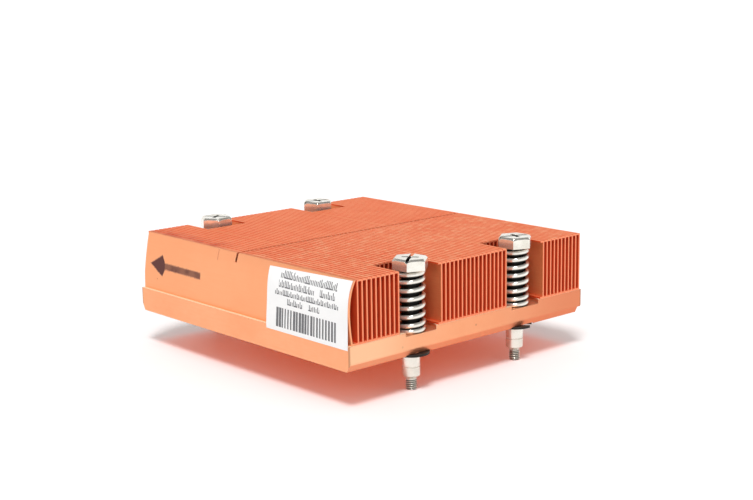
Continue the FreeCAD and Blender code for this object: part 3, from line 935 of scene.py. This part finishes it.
# %% Spring shape
def spring_climb(turn, coils, low, high):
    """Height of the wire's centre after so many turns."""
    rise = high - low - WIRE + 2 * GROUND
    open_pitch = (rise - 2 * CLOSED_TURNS * CLOSED_PITCH) / (coils - 2 * CLOSED_TURNS)
    below = min(turn, CLOSED_TURNS)
    above = max(turn - coils + CLOSED_TURNS, 0.0)
    start = low + WIRE / 2 - GROUND
    return start + CLOSED_PITCH * (below + above) + open_pitch * (turn - below - above)


def make_spring(name, x, y, coils, low, high, start_angle):
    """A round wire on a right-handed helix with closed, ground ends."""
    mesh = bmesh.new()
    rings = []
    for step in range(int(coils * STEPS_A_TURN) + 1):
        turn = step / STEPS_A_TURN
        angle = start_angle + 2 * math.pi * turn
        out = Vector((math.cos(angle), math.sin(angle), 0))
        along = Vector((-math.sin(angle), math.cos(angle), 0))
        before, after = max(turn - SLOPE_SPAN, 0.0), min(turn + SLOPE_SPAN, coils)
        climb = spring_climb(after, coils, low, high) - spring_climb(before, coils, low, high)
        slope = climb / ((after - before) * 2 * math.pi * COIL_RADIUS)
        up = (Vector((0, 0, 1)) - slope * along).normalized()
        centre = Vector((x, y, spring_climb(turn, coils, low, high))) + COIL_RADIUS * out
        ring = []
        for side in range(WIRE_SIDES):
            a = 2 * math.pi * side / WIRE_SIDES
            point = centre + WIRE / 2 * (math.cos(a) * out + math.sin(a) * up)
            point.z = min(max(point.z, low), high)
            ring.append(mesh.verts.new(point))
        rings.append(ring)
    skin(mesh, rings)
    bmesh.ops.recalc_face_normals(mesh, faces=mesh.faces)
    made = add_object(name, mesh)
    for face in made.data.polygons:
        face.use_smooth = len(face.vertices) == 4
    return made


# %% Put a spring on each screw
for place in PLACES:
    node = f"screw_spring_{place}"
    low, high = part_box(node)
    screw_low, screw_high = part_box(f"captive_screw_{place}")
    axis = (screw_low + screw_high) / 2
    coil = make_spring(f"wound_spring_{place}", axis.x, axis.y, COILS[place], low.z, high.z,
                       math.radians(START_ANGLES[place]))
    coil.data.materials.append(spring_nickel)
    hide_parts(node)
    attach(coil, "heatsink")
    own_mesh(coil)
    print(coil.name, len(coil.data.polygons), "faces")

# %% [markdown]
# ## Screws with real threads
#
# A captive screw is turned from one bar, so it is made as one closed skin: ring after ring of
# points from the tip up to the flat of the head. Each ring has its own radius at each angle. In the
# thread the radius rises and falls along a helix, on the shank the rings are plain circles, and in
# the head they follow the six flats. The driver recess is then cut with a boolean, as a punch would
# press it.

# %% Screw sizes
AROUND = 96
THREAD = 1.5 * MM
THREAD_PITCH = 0.5 * MM
THREAD_DEPTH = 0.29 * MM
THREAD_ROWS = 56
TOOTH_FLAT = 0.12
TIP_CHAMFER, TIP_RISE = 0.4 * MM, 0.08 * MM
RUN_IN, RUN_OUT = 0.45 * MM, 0.35 * MM
STEP = 0.12 * MM
SHANK_TAPER = 0.9 * MM
LINE_UP, LINE_WIDTH, LINE_SIDE = 2.2 * MM, 0.25 * MM, 0.06 * MM
GROOVE, GROOVE_UP, GROOVE_WIDTH = 1.9 * MM, 5.53 * MM, 0.7 * MM
ACROSS_FLATS = 8.2 * MM
HEAD_EDGE = 0.15 * MM
CHAMFER = 0.45 * MM
CORNER_RADIUS = 4.25 * MM
HEAD_TURNS = dict(zip(PLACES, (35.0, 80.0, 127.0, 68.0)))
print("thread pitch", 1000 * THREAD_PITCH, "mm")


# %% Thread and hexagon
def thread_depth(height, angle):
    """How far inside its outer size the thread lies, at a height over the tip and an angle."""
    phase = height / THREAD_PITCH - angle / (2 * math.pi)
    wave = abs(2 * (phase % 1.0) - 1)
    tooth = min(max((wave - TOOTH_FLAT) / (1 - 2 * TOOTH_FLAT), 0.0), 1.0)
    run_in = min(height / RUN_IN, 1.0)
    run_out = min(max((THREAD_LENGTH - height) / RUN_OUT, 0.0), 1.0)
    return THREAD_DEPTH * (1 - tooth * run_in) * run_out + STEP * (1 - run_out)


def hexagon_radius(angle, flats):
    """Distance from the centre to a hexagon's side at an angle, with corners at 0, 60, 120..."""
    nearest = (angle + math.pi / 6) % (math.pi / 3) - math.pi / 6
    return flats / 2 / math.cos(math.pi / 6 - abs(nearest))


print("corner to corner", round(2000 * hexagon_radius(0.0, ACROSS_FLATS), 2), "mm")


# %% Screw shape
def shank_profile(thread_top, head_low):
    """Radius and height of each plain ring between the thread and the head."""
    end = thread_top + SHANK_TAPER
    line = end + LINE_UP
    groove = end + GROOVE_UP
    edge = 0.01 * MM
    return [
        (THREAD - STEP, thread_top + 0.02 * MM), (SHANK - STEP, end - 0.1 * MM), (SHANK, end),
        (SHANK, line), (SHANK - STEP, line + LINE_SIDE),
        (SHANK - STEP, line + LINE_WIDTH - LINE_SIDE), (SHANK, line + LINE_WIDTH),
        (SHANK, groove), (GROOVE, groove + edge),
        (GROOVE, groove + GROOVE_WIDTH - edge), (SHANK, groove + GROOVE_WIDTH),
        (SHANK, head_low),
    ]


def screw_rings(tip, top):
    """The angles, and rings of (radius, height) by angle from the tip to the head's flat top."""
    angles = [2 * math.pi * k / AROUND for k in range(AROUND)]
    rings = [[(THREAD - TIP_CHAMFER, tip)] * AROUND]
    for row in range(THREAD_ROWS + 1):
        height = TIP_RISE + (THREAD_LENGTH - TIP_RISE) * row / THREAD_ROWS
        rings.append([(THREAD - thread_depth(height, a), tip + height) for a in angles])
    head_low = top - HEAD_HEIGHT
    for radius, z in shank_profile(tip + THREAD_LENGTH, head_low):
        rings.append([(radius, z)] * AROUND)
    corner = [hexagon_radius(a, ACROSS_FLATS) for a in angles]
    rings.append([(r - HEAD_EDGE, head_low) for r in corner])
    rings.append([(r, head_low + HEAD_EDGE) for r in corner])
    rings.append([(r, top - CHAMFER - max(r - CORNER_RADIUS, 0.0) / 2) for r in corner])
    flat = [hexagon_radius(a, ACROSS_FLATS - 2 * CHAMFER) for a in angles]
    rings.append([(min(r, CORNER_RADIUS), top) for r in flat])
    return angles, rings


def make_screw(name, x, y, tip, top, turn):
    """One closed skin from the rings."""
    angles, rings = screw_rings(tip, top)
    mesh = bmesh.new()
    skin(mesh, [
        [mesh.verts.new((x + r * math.cos(a + turn), y + r * math.sin(a + turn), z))
         for a, (r, z) in zip(angles, ring)]
        for ring in rings
    ])
    return add_object(name, mesh)


print("rings a screw:", len(screw_rings(SCREW_TIP, SCREW_TOP)[1]))

# %% Recess sizes
ARM_TOP, ARM_LOW, ARM_HALF, ARM_DEPTH = 2.5 * MM, 1.0 * MM, 0.48 * MM, 1.7 * MM
SLOT_REACH, SLOT_HALF, SLOT_DEPTH = 5.0 * MM, 0.45 * MM, 0.8 * MM
PUNCH_ABOVE = 0.5 * MM
SHARP_ANGLE = math.radians(28)
print("recess", round(1000 * ARM_DEPTH, 2), "mm deep")


# %% Driver recess
def make_punch(x, y, top, turn):
    """The cutter for the recess: two tapered arms in a cross and a shallow slot across the head."""
    mesh = bmesh.new()

    def block(half_top, half_low, half_width, depth, angle):
        rings = []
        for z, half in ((top - depth, half_low), (top + PUNCH_ABOVE, half_top)):
            ring = []
            for u, v in ((-half, -half_width), (half, -half_width),
                         (half, half_width), (-half, half_width)):
                ring.append(mesh.verts.new((x + u * math.cos(angle) - v * math.sin(angle),
                                            y + u * math.sin(angle) + v * math.cos(angle), z)))
            rings.append(ring)
        skin(mesh, rings)

    block(ARM_TOP, ARM_LOW, ARM_HALF, ARM_DEPTH, turn)
    block(ARM_TOP, ARM_LOW, ARM_HALF, ARM_DEPTH, turn + math.pi / 2)
    block(SLOT_REACH, SLOT_REACH, SLOT_HALF, SLOT_DEPTH, turn)
    return add_object("punch", mesh)


def press_recess(screw, punch):
    """Cuts the recess and keeps the result as the screw's own mesh."""
    cut = screw.modifiers.new("recess", "BOOLEAN")
    cut.operation = "DIFFERENCE"
    cut.solver = "EXACT"
    cut.use_self = True
    cut.object = punch
    bpy.context.view_layer.update()
    shaped = screw.evaluated_get(bpy.context.evaluated_depsgraph_get())
    result = bpy.data.meshes.new_from_object(shaped)
    screw.modifiers.clear()
    screw.data = result
    bpy.data.objects.remove(punch)
    for face in screw.data.polygons:
        face.use_smooth = True
    screw.data.set_sharp_from_angle(angle=SHARP_ANGLE)


# %% Put a screw at each place
for place in PLACES:
    node = f"captive_screw_{place}"
    low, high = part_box(node)
    centre = (low + high) / 2
    turn = math.radians(HEAD_TURNS[place])
    screw = make_screw(f"threaded_screw_{place}", centre.x, centre.y, low.z, high.z, turn)
    press_recess(screw, make_punch(centre.x, centre.y, high.z, turn))
    screw.data.materials.clear()
    screw.data.materials.append(screw_nickel)
    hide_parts(node)
    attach(screw, f"screw_{place}")
    print(screw.name, len(screw.data.polygons), "faces")

# %% [markdown]
# ## Floor and room
#
# The heatsink stands on its screw tips on a white table in a white studio with a dark ceiling. The
# floor is a large matt disc. The lamp makes it white round the heatsink, so the shadow stays true;
# far out, where only the horizon is left, the floor adds a little light of its own for rays from
# the camera and for reflections. Under the heatsink light goes back and forth between the copper
# and the table, redder each time; a faint red glow stands for the many passes that a render would
# cut short. The room is white at eye level and dark overhead: bright metal needs something dark to
# mirror, or it looks like plastic. Its brightness depends only on the direction in the room, so it
# stays put when the camera moves.


# %% Light that the camera and mirrors see
def seen_rays(tree):
    """One for rays from the camera, from mirrors and through glass."""
    path = add_node(tree, "LightPath")
    seen = maths("MAXIMUM", path["Is Camera Ray"], path["Is Glossy Ray"])
    return maths("MAXIMUM", seen, path["Is Transmission Ray"])


print("the floor and the room share this")

# %% Floor
FLOOR_RADIUS = 8.0
GLOW_START, GLOW_FULL = 0.10, 0.45
NEAR_GLOW, FAR_GLOW = 0.08, 0.25
WARM_GLOW, WARM_EDGE = 0.11, 5 * MM
WARM_TONE = (1, 0.10, 0.0, 1)


def make_floor_paint():
    """White matt paint, with a glow far out and a warm one under the plate."""
    material, shader, tree = new_material(
        "studio_floor", {"Base Color": (0.9, 0.9, 0.9, 1), "Roughness": 0.6,
                         "Specular IOR Level": 0.25})
    place = object_place(tree)
    x, y, _ = parts_of(place)
    distance = add_node(tree, "VectorMath", {0: place}, operation="LENGTH")
    glow = ramp(distance["Value"], GLOW_START, GLOW_FULL, NEAR_GLOW, FAR_GLOW)
    low, high = base_low - cad_centre, base_high - cad_centre
    under = times(between(x, low.x, high.x, WARM_EDGE), between(y, low.y, high.y, WARM_EDGE))
    glow = maths("ADD", glow, times(under, WARM_GLOW))
    connect(times(seen_rays(tree), glow), shader.inputs["Emission Strength"])
    connect(mix_colour(under, (1, 1, 1, 1), WARM_TONE), shader.inputs["Emission Color"])
    return material


disc = bmesh.new()
bmesh.ops.create_circle(disc, cap_ends=True, segments=96, radius=FLOOR_RADIUS)
floor = add_object("studio_floor", disc)
floor.location = (cad_centre.x, cad_centre.y, cad_low.z)
floor.data.materials.append(make_floor_paint())
floor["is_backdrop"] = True
print("floor at", round(1000 * floor.location.z, 2), "mm")

# %% Room
ROOM_FILL = 0.58
WALL_TOP, CEILING_START = 0.35, 0.80
CEILING = 0.10


def make_room():
    """A white room with a dark ceiling, and an even fill for matt surfaces."""
    world = bpy.data.worlds.new("studio")
    bpy.context.scene.world = world
    world.use_nodes = True
    tree = world.node_tree
    background = tree.nodes["Background"]
    background.inputs["Color"].default_value = (1, 1, 1, 1)
    _, _, upwards = parts_of(add_node(tree, "TexCoord")["Generated"])
    walls = ramp(upwards, WALL_TOP, CEILING_START, 1.0, CEILING)
    seen = seen_rays(tree)
    fill = times(maths("SUBTRACT", 1.0, seen), ROOM_FILL)
    strength = maths("ADD", times(walls, seen), fill)
    connect(strength, background.inputs["Strength"])


make_room()
print("room fill", ROOM_FILL, "ceiling", CEILING)


# %% Key light
def direction_to(azimuth, elevation):
    """A direction from angles in degrees; azimuth 0 is on the label side, 90 at the rear end."""
    a, e = math.radians(azimuth), math.radians(elevation)
    return Vector((math.sin(a) * math.cos(e), -math.cos(a) * math.cos(e), math.sin(e)))


KEY_AZIMUTH, KEY_ELEVATION = 41.0, 63.0
KEY_STRENGTH = 2.05
KEY_SOFTNESS = math.radians(15)
key = bpy.data.lights.new("key_light", "SUN")
key.energy = KEY_STRENGTH
key.angle = KEY_SOFTNESS
key_lamp = bpy.data.objects.new("key_light", key)
towards = direction_to(KEY_AZIMUTH, KEY_ELEVATION)
key_lamp.location = cad_centre + towards
key_lamp.rotation_euler = towards.to_track_quat("Z", "Y").to_euler()
bpy.context.scene.collection.objects.link(key_lamp)
print("key light from", [round(v, 2) for v in towards])

# %% [markdown]
# ## Camera
#
# The camera looks down a little on the corner between the label side and the rear end, through a
# long lens, so that the far edges shrink only slightly. Its place is worked out from three angles
# and a distance, so that each can be tried alone.

# %% Camera
VIEW_AZIMUTH, VIEW_ELEVATION = 48.24, 11.58
VIEW_ROLL = math.radians(-0.87)
VIEW_DISTANCE = 0.380
LENS_MM, SENSOR_MM = 66.67, 36.0
NEAREST = 0.01
AIM_OFFSET = Vector((6.9, 0.8, 10.9)) * MM

back = direction_to(VIEW_AZIMUTH, VIEW_ELEVATION)
right = Vector((0, 0, 1)).cross(back).normalized()
up = back.cross(right)
rolled_right = math.cos(VIEW_ROLL) * right + math.sin(VIEW_ROLL) * up
rolled_up = math.cos(VIEW_ROLL) * up - math.sin(VIEW_ROLL) * right

lens = bpy.data.cameras.new("camera")
lens.lens = LENS_MM
lens.sensor_width = SENSOR_MM
lens.clip_start = NEAREST
camera = bpy.data.objects.new("camera", lens)
bpy.context.scene.collection.objects.link(camera)
place = cad_centre + AIM_OFFSET + VIEW_DISTANCE * back
camera.matrix_world = Matrix.Translation(place) @ Matrix(
    (rolled_right, rolled_up, back)).transposed().to_4x4()
bpy.context.scene.camera = camera
print("camera at", [round(1000 * v, 1) for v in camera.location], "mm")

# %% [markdown]
# ## Finish
#
# Colours are shown plainly, with the Standard view transform.

# %% View settings
bpy.context.scene.view_settings.view_transform = "Standard"
